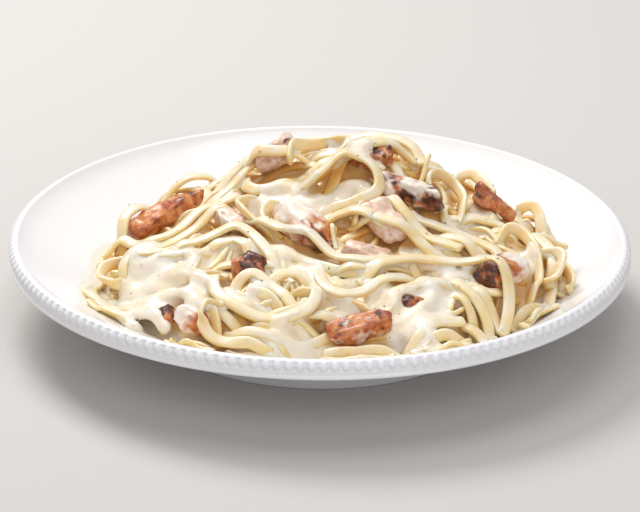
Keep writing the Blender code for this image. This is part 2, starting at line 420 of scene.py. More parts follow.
def make_plate(material):
    """Surface of revolution of the section.  On the band it stands out by a row of teardrops: the
    square root of 1 - a^2 - b^2, where a runs round the rim within one bead and narrows downwards,
    and b runs down the band.  A fine line is pressed below them."""
    radius, height, share = plate_section().T
    angle = np.arange(BEADS * COLUMNS_PER_BEAD) * 2 * np.pi / (BEADS * COLUMNS_PER_BEAD)
    phase = (np.arange(len(angle)) % COLUMNS_PER_BEAD + 0.5) / COLUMNS_PER_BEAD * 2 - 1
    down = (share - BEAD_MIDDLE) / BEAD_HALF
    half = 0.86 - 0.34 * np.clip(down, 0, 1)
    inside = 1 - (phase[None, :] / half[:, None]) ** 2 - down[:, None] ** 2
    bead = np.where(share[:, None] >= 0, BEAD_RELIEF * np.sqrt(np.clip(inside, 0, 1)), 0)
    line = np.where(share >= 0, -LINE_DEPTH * np.exp(-(((share - LINE_AT) / 0.05) ** 2)), 0)
    out = radius[:, None] + bead + line[:, None]
    points = np.stack(
        [out * np.cos(angle), out * np.sin(angle), np.broadcast_to(height[:, None], out.shape)],
        axis=2,
    )
    faces = [face[::-1] for face in tube_faces(*out.shape)]
    points = points.reshape(-1, 3)
    return make_piece("porcelain_plate", points, faces, material, "porcelain", "plate")


# ---------------------------------------------------------------- heap


def heap_outline(angle):
    """Distance from the heap's middle to its uneven foot."""
    broad = 4 * np.cos(angle + 0.6) + 2 * np.cos(3 * angle + 0.5)
    narrow = 2.2 * np.cos(7 * angle + 1.1) + 1.3 * np.cos(12 * angle + 2)
    return HEAP_RADIUS + broad + narrow


def heap_share(x, y):
    """Distance from the heap's middle, with 1 at its outline."""
    away_x, away_y = x - HEAP_CENTRE[0], y - HEAP_CENTRE[1]
    return np.hypot(away_x, away_y) / heap_outline(np.arctan2(away_y, away_x))


def heap_height(x, y):
    """Smooth upper face of the whole heap: a broad dome with a peak behind its middle."""
    base = well_height(np.hypot(x, y)) + HEAP_EDGE
    across = ((x - PEAK[0]) / PEAK_SPREAD[0]) ** 2 + ((y - PEAK[1]) / PEAK_SPREAD[1]) ** 2
    dome = HEAP_SHOULDER + PEAK[2] * np.exp(-across)
    rise = (1 - np.clip(heap_share(x, y), 0, 1) ** 4) ** 0.62
    return base + (dome - base) * rise


def heap_normal(x, y):
    """Unit normals of the heap's smooth upper face, with its slope held under about 50 degrees."""
    slope_x = (heap_height(x + 2, y) - heap_height(x - 2, y)) / 4
    slope_y = (heap_height(x, y + 2) - heap_height(x, y - 2)) / 4
    steep = np.maximum(1, np.hypot(slope_x, slope_y) / 1.2)
    normal = np.stack([-slope_x / steep, -slope_y / steep, np.ones_like(slope_x)], axis=-1)
    return normal / np.linalg.norm(normal, axis=-1, keepdims=True)


map_axis = np.arange(-SPAN, SPAN + CELL, CELL)
map_x, map_y = np.meshgrid(map_axis, map_axis)
core_height = heap_height(map_x, map_y) - CORE_DEPTH
pile = np.maximum(well_height(np.hypot(map_x, map_y)), core_height)
on_chicken = np.zeros(pile.shape, bool)


def cells(x, y):
    """Row and column of the height map at each place."""
    last = len(map_axis) - 1
    row = np.clip(np.rint((y + SPAN) / CELL).astype(int), 0, last)
    column = np.clip(np.rint((x + SPAN) / CELL).astype(int), 0, last)
    return row, column


def smooth_along(values, reach):
    """Running mean with Gaussian weights, reach steps each way, its ends held."""
    weights = np.exp(-0.5 * (np.arange(-reach, reach + 1) / (reach / 2)) ** 2)
    return np.convolve(np.pad(values, reach, "edge"), weights / weights.sum(), "valid")


def route_through(points):
    """Catmull-Rom curve through (x, y) or (x, y, lift) points, read at even steps of length."""
    knots = np.array([tuple(p) + (0,) * (3 - len(p)) for p in points], float)
    knots = np.concatenate([2 * knots[:1] - knots[1:2], knots, 2 * knots[-1:] - knots[-2:-1]])
    t = np.linspace(0, 1, 24, endpoint=False)[None, :, None]
    a, b, c, d = (knots[i : len(knots) - 3 + i, None, :] for i in range(4))
    curve = 0.5 * (
        2 * b + (c - a) * t + (2 * a - 5 * b + 4 * c - d) * t**2 + (3 * b - a - 3 * c + d) * t**3
    )
    curve = np.concatenate([curve.reshape(-1, 3), knots[-2:-1]])
    run = np.concatenate([[0], np.cumsum(np.linalg.norm(np.diff(curve[:, :2], axis=0), axis=1))])
    run = run + np.linspace(0, 1e-6, len(run))
    even = np.linspace(0, run[-1], max(8, int(run[-1] / ROUTE_STEP)))
    return np.stack([np.interp(even, run, curve[:, i]) for i in range(3)], axis=1)


def ribbon_frame(path, turn):
    """Directions across a ribbon and out of its flat, turned about its path from the heap's slope."""
    along = np.gradient(path, axis=0)
    along /= np.linalg.norm(along, axis=1, keepdims=True) + 1e-9
    out = heap_normal(path[:, 0], path[:, 1])
    across = np.cross(out, along)
    across /= np.linalg.norm(across, axis=1, keepdims=True) + 1e-9
    out = np.cross(along, across)
    c, s = np.cos(turn)[:, None], np.sin(turn)[:, None]
    return across * c + out * s, out * c - across * s


def lay_strand(route, turn, width=NOODLE_WIDTH, ceiling=None, bare_end=False):
    """Lays one strand over what is already there and adds it to the height map.

    Its height is the highest that anything under its section reaches, stretched taut over narrow
    dips: the larger of that and its own running mean, many times over.  Its ends dive in among
    the others, unless its last end lies bare.  With a ceiling, a strand that would come out higher
    than that above the heap's smooth face isn't laid.  None of it goes down through the plate.
    """
    count = len(route)
    u = np.linspace(-0.48, 0.48, 11) * width
    v = np.array([-0.5, 0.5]) * NOODLE_THICK

    def section_of(across, out):
        section = u[:, None, None, None] * across + v[None, :, None, None] * out
        return section.reshape(-1, count, 3)

    turns = np.radians(np.interp(np.linspace(0, 1, count), np.linspace(0, 1, len(turn)), turn))
    path = np.stack([route[:, 0], route[:, 1], heap_height(route[:, 0], route[:, 1])], axis=1)
    section = section_of(*ribbon_frame(path, turns))
    below = pile[cells(path[:, 0] + section[..., 0], path[:, 1] + section[..., 1])]
    support = (below - section[..., 2]).max(axis=0)
    height = support
    for _ in range(STIFF_ROUNDS):
        height = np.maximum(support, smooth_along(height, STIFF_REACH))
    height = smooth_along(height, STIFF_REACH) - SQUASH
    if ceiling is not None:
        least = well_height(np.hypot(path[:, 0], path[:, 1])) + EDGE_ROOM
        allowed = np.maximum(path[:, 2] + ceiling, least)
        if np.percentile(height - allowed, 80) > 0:
            return None
    run = ROUTE_STEP * np.arange(count)
    dive = 1 - blend(0, DIVE_RUN, run)
    if not bare_end:
        dive = dive + 1 - blend(0, DIVE_RUN, run[::-1])
    path[:, 2] = height + smooth_along(route[:, 2], 8) - DIVE * dive
    across, out = ribbon_frame(path, turns)
    section = section_of(across, out)
    least = well_height(np.hypot(path[:, 0], path[:, 1])) + 0.9 * section[..., 2].max(axis=0)
    path[:, 2] = np.maximum(path[:, 2], least)
    reached = path[None] + section
    np.maximum.at(pile, cells(reached[..., 0], reached[..., 1]), reached[..., 2])
    return {"path": path, "across": across, "out": out, "width": width}


def ribbon_rings(strand, step, sides, seed):
    """A rounded flat section carried along the path: half width times |cos|^0.6 across and half
    thickness times |sin|^0.75 out, its width swelling and shrinking a little along the strand."""
    path, across, out = (strand[key][::step] for key in ("path", "across", "out"))
    a = (np.arange(sides) + 0.5) * 2 * np.pi / sides
    u = np.sign(np.cos(a)) * np.abs(np.cos(a)) ** 0.6 * strand["width"] / 2
    v = np.sign(np.sin(a)) * np.abs(np.sin(a)) ** 0.75 * NOODLE_THICK / 2
    swell = 1 + 0.07 * noise(path, 14, seed)
    ends = np.ones(len(path))
    ends[[0, -1]] = 0.86
    return (
        path[:, None]
        + (swell * ends)[:, None, None] * u[None, :, None] * across[:, None]
        + ends[:, None, None] * v[None, :, None] * out[:, None]
    )


def make_noodles(name, strands, step, sides, material):
    points, faces, start = [], [], 0
    for number, strand in enumerate(strands):
        rings = ribbon_rings(strand, step, sides, number)
        points.append(rings.reshape(-1, 3))
        faces += tube_faces(len(rings), sides, start)
        start += len(points[-1])
    return make_piece(name, np.concatenate(points), faces, material, "pasta", "pasta_heap")


def over_window(field, reach, rule):
    """The rule (np.maximum or np.minimum) over a square window of reach cells each way."""
    for axis in (0, 1):
        spread = field
        for offset in range(-reach, reach + 1):
            spread = rule(spread, np.roll(field, offset, axis=axis))
        field = spread
    return field


def pile_envelope():
    """The height map with its gaps under about 7 mm across filled to their edges, then blurred."""
    face = over_window(over_window(pile, GAP_REACH, np.maximum), GAP_REACH, np.minimum)
    for axis in (0, 1):
        face = np.apply_along_axis(smooth_along, axis, face, 5)
    return face


def mark_hollow_shade(made, envelope):
    """Stores, for painted shade, how deep each point lies in the heap's hollows: 0 down to HOLLOW_START
    under the envelope, 1 a HOLLOW_RANGE below that, and less near the plate, which throws light back."""
    points = np.empty(len(made.data.vertices) * 3)
    made.data.vertices.foreach_get("co", points)
    x, y, z = points.reshape(-1, 3).T / MM
    depth = np.clip((envelope[cells(x, y)] - z - HOLLOW_START) / HOLLOW_RANGE, 0, 1)
    depth *= blend(0, PLATE_GLOW, z - well_height(np.hypot(x, y)))
    store_values(made, "hollow_shade", depth)


def drawn_arc(chance, radius, sweep):
    """A wandering arc of a strand through the emptiest of a few random spots, pulled back inside the
    outline where it would leave it."""
    angle = chance.uniform(0, 2 * np.pi, SPOTS)
    out = HEAP_FILL * np.sqrt(chance.uniform(0, 1, SPOTS)) * heap_outline(angle)
    spot_x, spot_y = HEAP_CENTRE[0] + out * np.cos(angle), HEAP_CENTRE[1] + out * np.sin(angle)
    emptiest = np.argmin(pile[cells(spot_x, spot_y)] - heap_height(spot_x, spot_y))
    bends = np.linspace(0, 1, ARC_POINTS) * np.radians(chance.uniform(*sweep)) * chance.choice([-1, 1])
    bends += chance.uniform(0, 2 * np.pi)
    sizes = chance.uniform(*radius) * (1 + 0.16 * np.cos(2 * bends + chance.uniform(0, 6)))
    x, y = sizes * np.cos(bends), sizes * np.sin(bends)
    middle = ARC_POINTS // 2
    x, y = x - x[middle] + spot_x[emptiest], y - y[middle] + spot_y[emptiest]
    share = heap_share(x, y)
    limit = HEAP_FILL + chance.uniform(-0.02, 0.03)
    pull = np.where(share > 0.7, (0.7 + (limit - 0.7) * np.tanh((share - 0.7) / 0.35)) / share, 1)
    x = HEAP_CENTRE[0] + (x - HEAP_CENTRE[0]) * pull
    y = HEAP_CENTRE[1] + (y - HEAP_CENTRE[1]) * pull
    return list(zip(x, y))


def edge_arc(chance, inner, outer):
    """An arc that follows the heap's outline at shares of it between inner and outer."""
    start = chance.uniform(0, 2 * np.pi)
    angles = start + np.linspace(0, np.radians(chance.uniform(35, 100)), ARC_POINTS)
    share = chance.uniform(inner, outer) + 0.05 * np.sin(3 * angles + chance.uniform(0, 6))
    share = np.minimum(share, outer) - chance.uniform(0, 0.25) * np.linspace(0, 1, ARC_POINTS) ** 3
    reach = share * heap_outline(angles)
    return list(zip(HEAP_CENTRE[0] + reach * np.cos(angles), HEAP_CENTRE[1] + reach * np.sin(angles)))


def edge_strands(tries, seed, inner, outer, ceiling):
    """Strands that follow the heap's outline, laid in turn."""
    chance = np.random.default_rng(seed)
    laid = []
    for _ in range(tries):
        route = route_through(edge_arc(chance, inner, outer))
        laid.append(lay_strand(route, drawn_turn(chance), ceiling=ceiling))
    return [strand for strand in laid if strand]


def drawn_turn(chance):
    """Turn from lying flat, in degrees: two strands in three lie within 40 and the rest stand."""
    lean = chance.uniform(60, 90) * chance.choice([-1, 1]) if chance.uniform() < 0.34 else 0
    return lean + chance.uniform(-40, 40, 3) * (0.5 if lean else 1)


def drawn_strands(tries, seed, radius, sweep, ceiling, behind=-SPAN):
    """Strands on wandering arcs, laid in turn, leaving out any that come in front of a line that
    bends towards the front at the sides, cover chicken, or would come out above the ceiling."""
    chance = np.random.default_rng(seed)
    laid = []
    for _ in range(tries):
        route = route_through(drawn_arc(chance, radius, sweep))
        turn = drawn_turn(chance)
        width = NOODLE_WIDTH * chance.uniform(0.82, 1.02)
        x, y = route[10:-10, :2].T
        if (y > behind - 0.15 * abs(x)).all() and not on_chicken[cells(x, y)].any():
            laid.append(lay_strand(route, turn, width, ceiling))
    return [strand for strand in laid if strand]


def strands_beside(drawn, tries, seed, ceiling):
    """Strands that run along part of the drawn ones, a little over a strand's width to one side."""
    chance = np.random.default_rng(seed)
    laid = []
    for _ in range(tries):
        route = route_through(drawn[chance.integers(len(drawn))][1])
        along = np.gradient(route[:, :2], axis=0)
        along /= np.linalg.norm(along, axis=1, keepdims=True)
        aside = chance.uniform(4.8, 7) * chance.choice([-1, 1])
        aside += 1.5 * np.sin(np.arange(len(route)) * chance.uniform(0.03, 0.08) + chance.uniform(0, 6))
        route[:, 0] -= aside * along[:, 1]
        route[:, 1] += aside * along[:, 0]
        route[:, 2] = 0
        first, last = chance.uniform(0, 0.3), chance.uniform(0.7, 1)
        route = route[int(first * len(route)) : int(last * len(route))]
        if len(route) < 30:
            continue
        x, y = route[10:-10, :2].T
        if not on_chicken[cells(x, y)].any():
            laid.append(lay_strand(route, drawn_turn(chance), ceiling=ceiling))
    return [strand for strand in laid if strand]


# Strands whose lie can be seen from the front, bottom ones first.  Each has its turn from lying flat,
# in degrees, its route as (across, away) or (across, away, lift) in mm, and "bare" if its last end
# lies in sight.
FRONT_STRANDS = (
    ((10, -10), [(-96, -12), (-101, 0), (-99, 12), (-92, 20), (-82, 25), (-72, 29)]),
    ((20, 40), [(-92, -14), (-95, -4), (-93, 6, 1), (-86, 13, 1), (-78, 17)]),
    ((0, 20), [(-84, 40), (-74, 46, 2), (-64, 48, 5), (-54, 50, 3), (-44, 50)]),
    ((0, 0), [(-60, 36), (-50, 44), (-38, 48, 2), (-28, 50)]),
    ((30, 10), [(-52, 26), (-44, 34, 3), (-34, 38, 4), (-26, 44)]),
    ((0, 0), [(-60, 4), (-52, 12), (-44, 19), (-36, 25), (-28, 27)]),
    ((0, 10), [(-104, -8), (-97, -6), (-88, -12), (-79, -16), (-69, -10), (-60, -1), (-50, 6),
        (-40, 12), (-31, 17)]),
    ((10, 0), [(-100, -20), (-93, -18), (-84, -22), (-76, -24), (-64, -14), (-54, -8), (-44, -3),
        (-37, 2)]),
    ((0, 0), [(-84, -34), (-75, -35), (-66, -38), (-58, -38), (-50, -33)]),
    ((-10, 10), [(-92, -46), (-93, -34), (-88, -25), (-80, -24), (-72, -29)]),
    ((75, 85, 75), [(-92, -24), (-97, -23, 1), (-103, -28, 1), (-103, -37), (-97, -42), (-91, -39)]),
    ((0, -10), [(-104, -46), (-97, -55), (-88, -64), (-79, -74), (-70, -86)]),
    ((0, 20), [(-78, -42), (-70, -50), (-62, -57), (-54, -65), (-47, -75)]),
    ((0, 0), [(-86, -56), (-76, -60), (-66, -66), (-58, -76), (-50, -86), (-42, -93), (-32, -99)]),
    ((20, 20), [(-62, -77), (-55, -85), (-50, -92), (-47, -99), (-46, -106)]),
    ((0, 0), [(-70, -98), (-60, -101), (-50, -108), (-40, -112)]),
    # swirl left of the middle
    ((-10, 0), [(-38, -65), (-42, -72), (-40, -82), (-32, -88), (-23, -90)]),
    ((0, 15), [(-44, -56), (-49, -67), (-47, -80), (-39, -90), (-26, -96), (-13, -97), (-4, -90),
        (-1, -79), (-4, -68)]),
    ((20, 0), [(-39, -79), (-38, -71), (-31, -67, 1), (-25, -71), (-16, -80), (-9, -90)]),
    ((10, 30), [(-27, -75), (-22, -70), (-17, -67, 1), (-11, -66, 1), (-6, -70, 1), (-3, -77)]),
    # right of the middle
    ((0, 0), [(5, -61), (7, -69), (12, -75), (19, -77)]),
    ((0, 0), [(3, -60), (14, -63), (25, -62), (35, -58), (44, -53)]),
    ((0, 0), [(-2, -56), (0, -68), (4, -78), (11, -82), (20, -78), (30, -71), (40, -64), (50, -60)]),
    ((0, 10), [(30, -86), (40, -76), (50, -69), (60, -66), (70, -63)]),
    ((10, 0), [(56, -58), (64, -66), (72, -73), (78, -80), (80, -90)]),
    ((0, 0), [(66, -84), (74, -88), (79, -94)]),
    ((20, 10), [(89, -76), (95, -66), (102, -59), (109, -52)]),
    ((0, 20), [(14, -28), (22, -31), (32, -34), (42, -36), (52, -42), (62, -47)]),
    # loops round the middle chunk
    ((-80, -85), [(-24, 4), (-34, 0, 1), (-39, -8, 2), (-36, -17, 1), (-28, -26), (-18, -34)]),
    ((-75, -85, -60), [(-14, -5), (-22, -8, 2), (-27, -16, 2), (-25, -25, 1), (-17, -33)]),
    ((0, 0), [(-76, -31), (-66, -30), (-56, -28), (-46, -26), (-38, -26), (-31, -32), (-26, -42),
        (-22, -52), (-18, -62)]),
    ((0, -10, 0), [(-34, -19), (-26, -28), (-17, -35), (-8, -42), (1, -50), (10, -57), (21, -60),
        (33, -55), (43, -50)]),
    ((0, 0), [(18, -71), (29, -63), (41, -54), (52, -49), (63, -47), (73, -48), (82, -53), (88, -62),
        (88, -73), (84, -84)]),
    ((60, 80), [(9, -46), (7, -39, 4), (6, -34, 8)]),
    ((60, 70), [(21, -13), (18, -22, 1), (16, -32)]),
    ((0, 0), [(-2, -18), (6, -21), (14, -26), (23, -31), (33, -35)]),
    # upper right
    ((0, 0), [(29, -6), (33, -14), (39, -24), (48, -31), (58, -37), (67, -42)], "bare"),
    ((0, 10), [(50, -24), (60, -31), (70, -37), (79, -44)]),
    ((-10, 0), [(43, -15), (54, -20), (66, -24), (76, -28), (84, -34), (88, -42)]),
    ((10, 0), [(62, -8), (72, -5), (84, -3), (94, -5), (102, -12), (106, -22)]),
    ((60, 80), [(84, -20), (90, -13, 2), (97, -15, 2), (102, -25, 1), (104, -37), (102, -49), (96, -60)]),
    ((20, 30), [(94, -2), (103, -8), (109, -18), (111, -30), (109, -42)]),
    ((0, 0), [(96, -2), (103, -3), (111, -5, 1), (119, -3, 1)], "bare"),
    ((70, 80), [(105, -25), (111, -26, 1), (115, -32, 1), (112, -40), (105, -41)]),
    ((85, 85), [(54, 3), (52, 12, 2), (58, 18, 3), (65, 15, 3), (69, 6, 3), (68, -3, 1), (66, -10)]),
    ((60, 80), [(64, 30), (68, 34, 4), (75, 32, 5), (80, 24, 2), (84, 16)]),
    ((70, 60), [(93, 27), (98, 31, 4), (105, 29, 5), (108, 20, 2), (106, 10)]),
    ((80, 80), [(46, 8), (49, 13, 1), (51, 18, 5), (53, 22, 9)], "bare"),
    # top
    ((0, 0), [(-10, 13), (0, 17), (11, 16), (22, 11), (30, 4)]),
    ((20, 0), [(-12, 25), (-2, 26), (9, 23), (20, 23), (31, 28)]),
    ((0, 10), [(2, -6), (8, 4), (12, 16), (10, 29)]),
    ((0, 0), [(6, 44), (18, 50, 1), (30, 48, 1), (40, 40)]),
    ((30, 50), [(0, 36), (10, 42, 1), (21, 43, 2), (32, 37, 2), (40, 28, 1), (48, 18)]),
    ((20, 30), [(-36, 24), (-35, 13, 1), (-27, 7, 2), (-15, 7, 2), (-6, 9)]),
    ((30, 40), [(-36, 32, 1), (-31, 22, 3), (-22, 18, 4), (-12, 20, 4), (-4, 26, 1)]),
    ((80, 90, 80), [(-13, 11), (-4, 5), (6, 6), (13, 13), (12, 23, 1), (4, 30, 2), (-6, 30, 2),
        (-13, 23, 1), (-15, 13)]),
    ((-20, -30, -20), [(-12, 3), (-4, -1), (5, 2), (13, 5, 1), (21, 4, 1), (27, -1, 1), (28, -8),
        (23, -13), (14, -16), (4, -15), (-3, -11)]),
    ((10, 30, 10), [(15, 20), (19, 28), (27, 33, 1), (37, 32, 1), (46, 26), (50, 17)]),
    ((20, 0), [(11, 11), (20, 13), (30, 17), (40, 21), (48, 21)]),
    # front
    ((10, 10), [(46, -107), (55, -103), (63, -99), (70, -94)]),
    ((0, 0), [(39, -113), (44, -107), (51, -99), (59, -92), (67, -87)], "bare"),
    ((10, 0), [(2, -106), (9, -108), (20, -108, 1), (31, -109), (40, -112)]),
    ((0, 0), [(-44, -99), (-36, -104), (-28, -107), (-18, -109), (-8, -110)]),
    ((50, 60, 20), [(-43, -87), (-51, -92, 1), (-54, -99, 1), (-50, -106), (-41, -109), (-30, -112),
        (-20, -113)]),
)


# ---------------------------------------------------------------- chicken

# How each piece is cooked: browning, char and cream, each as an amount and how far it leans towards
# the piece's right-hand end
COOKED = {
    "strip_left": ((0.95, 0.0), (0.14, 0.8), (0.05, -0.5)),
    "charred_lump": ((1.0, 0.0), (0.55, 0.2), (0.0, 0.0)),
    "bit_front_left": ((0.9, 0.0), (0.5, 0.0), (0.15, 0.0)),
    "chunk_front_left": ((0.6, 0.9), (0.1, 0.5), (0.5, -0.7)),
    "chunk_centre": ((0.35, 1.0), (0.22, 0.7), (0.5, -0.9)),
    "chunk_top_left": ((0.2, 0.0), (0.32, 0.0), (0.35, 0.0)),
    "piece_top": ((0.85, 0.0), (0.5, -0.3), (0.15, 0.0)),
    "strip_top_right": ((0.8, 0.2), (0.55, 0.4), (0.45, -0.4)),
    "piece_pale": ((0.05, 0.0), (0.0, 0.0), (0.3, 0.0)),
    "piece_right_back": ((0.9, 0.0), (0.3, -0.3), (0.05, 0.0)),
    "chunk_right": ((0.5, -1.0), (0.3, -0.8), (0.4, 0.9)),
    "piece_front": ((0.8, 0.3), (0.35, 0.0), (0.15, -0.2)),
    "bit_front": ((0.95, 0.0), (0.5, 0.0), (0.0, 0.0)),
    "piece_pink": ((0.15, 0.0), (0.0, 0.0), (0.15, 0.0)),
    "bit_left": ((0.12, 0.0), (0.0, 0.0), (0.4, 0.0)),
}

# How much lower some pieces lie than their solid, pressed in among the strands
SUNK = {
    "piece_front": 2.5,
    "bit_front": 2.5,
    "piece_pink": 1.5,
    "charred_lump": 1.0,
    "chunk_centre": 1.0,
}

# How much more each mask shows on faces that look up
TOP_LEAN = {"sear": 0.25, "char": 0.1, "cream": 0.15}

PATCH_SIZE = {"sear": 5.0, "char": 2.6, "cream": 4.5}
BLOCKINESS = 0.6  # how far a piece goes from an ellipsoid (0) to a block (1)
CUTS = 5
TORN = 0.6  # how far its torn fibres move its skin


def refined_copy(node):
    """Points, normals and faces of a CAD node's shape, merged and subdivided finely."""
    shape = bmesh.new()
    shape.from_mesh(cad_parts[node].data)
    bmesh.ops.remove_doubles(shape, verts=shape.verts, dist=1e-6)
    bmesh.ops.join_triangles(
        shape, faces=shape.faces, angle_face_threshold=0.9, angle_shape_threshold=1.2
    )
    mesh = bpy.data.meshes.new("cage")
    shape.to_mesh(mesh)
    shape.free()
    cage = bpy.data.objects.new("cage", mesh)
    bpy.context.scene.collection.objects.link(cage)
    rounding = cage.modifiers.new("rounding", "SUBSURF")
    rounding.levels = 3
    rounding.render_levels = 3
    graph = bpy.context.evaluated_depsgraph_get()
    fine = bpy.data.meshes.new_from_object(cage.evaluated_get(graph))
    points = np.empty(len(fine.vertices) * 3)
    normals = np.empty(len(fine.vertices) * 3)
    fine.vertices.foreach_get("co", points)
    fine.vertices.foreach_get("normal", normals)
    faces = [list(face.vertices) for face in fine.polygons]
    bpy.data.objects.remove(cage)
    return points.reshape(-1, 3) / MM, normals.reshape(-1, 3), faces


def make_chicken(name, cooked, seed, material):
    """The CAD piece with flat cut faces, torn fibres along its length and a pitted seared skin.

    Each point moves out by how much farther a rounded block reaches than an ellipsoid, is pressed
    back to a few slanting cuts, then moves along its normal by noise stretched along the piece.
    Each mask is its amount, leaning along the piece and towards faces that look up, broken up by
    two sizes of noise and cut softly.
    """
    node = "chicken_" + name
    points, normals, faces = refined_copy(node)
    middle = points.mean(axis=0)
    _, _, axes = np.linalg.svd(points - middle, full_matrices=False)
    axes[0] *= np.sign(axes[0, 0])
    axes[2] *= np.sign(axes[2, 2])
    axes[1] = np.cross(axes[2], axes[0])
    local = (points - middle) @ axes.T
    half = np.abs(local).max(axis=0)
    share = local / half
    block = (np.abs(share) ** 6).sum(axis=1) ** (1 / 6)
    ball = np.sqrt((share**2).sum(axis=1))
    share = share * (1 + BLOCKINESS * (ball / np.maximum(block, 0.2) - 1))[:, None]
    chance = np.random.default_rng(seed + 30)
    share[:, 1:] *= 1 - chance.choice([-1, 1]) * chance.uniform(0.08, 0.22) * share[:, :1]
    for _ in range(CUTS):
        facing = chance.normal(size=3) * (1, 1, 0.7)
        facing /= np.linalg.norm(facing)
        over = share @ facing - chance.uniform(0.76, 0.94)
        share -= 0.9 * np.clip(over, 0, None)[:, None] * facing
    local = share * half
    torn = noise(local * (0.3, 1, 1), 2.4, seed) * TORN + noise(local, 6, seed + 50)
    pitted = noise(local, 1.2, seed + 90) * 0.25
    pitted -= 1.4 * np.clip(noise(local * (0.6, 1, 1), 3.2, seed + 70) - 0.42, 0, 1)
    points = middle + local @ axes + normals * (torn + pitted)[:, None]
    points[:, 2] -= SUNK.get(name, 0.0)
    made = make_piece(node + "_cooked", points, faces, material, "chicken", node)
    for (mask, size), (amount, lean) in zip(PATCH_SIZE.items(), cooked):
        drawn = amount + 0.45 * lean * share[:, 0] + 0.34 * noise(local, size, seed + len(mask))
        drawn += 0.15 * noise(local, size / 2.5, seed + 20) + TOP_LEAN[mask] * (normals[:, 2] - 0.4)
        store_values(made, mask, blend(0.4, 0.62, drawn))
    np.maximum.at(pile, cells(points[:, 0], points[:, 1]), points[:, 2])
    on_chicken[cells(points[:, 0], points[:, 1])] = True
    return made


# ---------------------------------------------------------------- sauce

SAUCE_CELL = 1.3
SAUCE_LOW = (-126.0, -126.0, 7.0)
SAUCE_SHAPE = (194, 194, 66)
PILE_DROP = 4.2  # how far under the pile's envelope the solid fill of cream stays,
SETTLED_DROP = 2.8  # and under that of the lower strands alone
FILL_RISE = 2.0  # how far the fill rises for each unit of cream,
GAP_SINK = 2.5  # and how much farther than that it sinks in a gap
LEAST_CREAM, MOST_CREAM = -0.6, 1.2
SAUCE_BLUR = 1.05  # cells
BARE_CUT = 0.75  # blurred share of a cell at the cream's surface where there is none to spare,
THICK_CUT = 0.44  # and how much less of it is needed for each unit of cream

# Where cream lies thick (positive) or where a gap between strands stays open (negative):
# across, away, radius, amount
SAUCE_PATCHES = (
    # over the middle and the top
    (-22, 0, 12, 1.0), (-6, -4, 11, 1.0), (16, -9, 9, 0.9), (-12, -44, 11, 0.9), (-3, -60, 9, 0.9),
    (-22, 36, 9, 1.0), (18, 13, 9, 1.0), (2, 26, 6, 0.6), (38, -30, 5, 0.5),
    # left
    (-86, -32, 12, 0.6), (-78, -46, 14, 0.7), (-90, -52, 12, 0.6), (-70, -62, 13, 0.7),
    (-58, -68, 10, 0.6), (-76, -76, 12, 0.9), (-84, -72, 6, 0.6), (-60, -88, 11, 0.9),
    (-66, -46, 9, 0.7), (-30, -76, 5, 0.6),
    # front
    (-24, -104, 10, 0.8), (-10, -104, 13, 1.0), (12, -90, 7, 0.8), (36, -98, 12, 0.7),
    (46, -88, 12, 0.6), (50, -78, 11, 0.6), (62, -80, 7, 0.3), (36, -82, 7, 0.8),
    # right
    (92, -54, 9, 0.8), (80, -46, 7, 0.7), (102, -30, 8, 0.7), (60, -56, 6, 0.5),
    # gaps
    (-38, -73, 4, -1.5), (-13, -77, 6, -1.8), (1, -94, 5, -2.0), (-10, -101, 3, -1.2),
    (-26, -101, 4, -1.2), (15, -111, 9, -2.0), (52, -57, 5, -1.5), (64, -77, 4, -1.5),
    (79, -62, 4, -1.5), (-98, -33, 5, -1.8), (-46, -99, 4, -1.6), (-21, -18, 5, -1.6),
    (-32, -8, 4, -1.5), (5, -62, 3, -1.2), (60, 6, 7, -1.4), (0, 17, 5, -1.2), (4, 0, 4, -1.6),
    (92, -68, 4, -1.2), (40, -66, 3, -1.0), (8, -76, 3, -1.0),
)


def blurred(field, spread):
    """Gaussian blur of a volume, one axis at a time; spread is in cells."""
    reach = int(np.ceil(2.6 * spread))
    weights = np.exp(-0.5 * (np.arange(-reach, reach + 1) / spread) ** 2)
    weights /= weights.sum()
    for axis in range(3):
        total = np.zeros_like(field)
        for offset, weight in zip(range(-reach, reach + 1), weights):
            total += weight.astype(np.float32) * np.roll(field, offset, axis=axis)
        field = total
    return field


def strand_volume(strands):
    """Share of each cell of the sauce's volume that the strands fill."""
    total = np.zeros(np.prod(SAUCE_SHAPE))
    shape = np.array(SAUCE_SHAPE)
    for strand in strands:
        u = np.linspace(-0.45, 0.45, 9) * strand["width"]
        v = np.linspace(-0.38, 0.38, 4) * NOODLE_THICK
        across, out = strand["across"], strand["out"]
        inside = u[:, None, None, None] * across + v[None, :, None, None] * out
        place = (strand["path"] + inside).reshape(-1, 3)
        place = (place - SAUCE_LOW) / SAUCE_CELL
        cell = np.floor(place).astype(int)
        part = place - cell
        cell = np.clip(cell, 0, shape - 2)
        volume = ROUTE_STEP * strand["width"] / len(u) * NOODLE_THICK / len(v) / SAUCE_CELL**3
        for corner in np.ndindex(2, 2, 2):
            share = np.prod(np.where(corner, part, 1 - part), axis=1) * volume
            flat = np.ravel_multi_index(tuple((cell + corner).T), SAUCE_SHAPE)
            total += np.bincount(flat, weights=share, minlength=len(total))
    return np.clip(total, 0, 1).reshape(SAUCE_SHAPE).astype(np.float32)


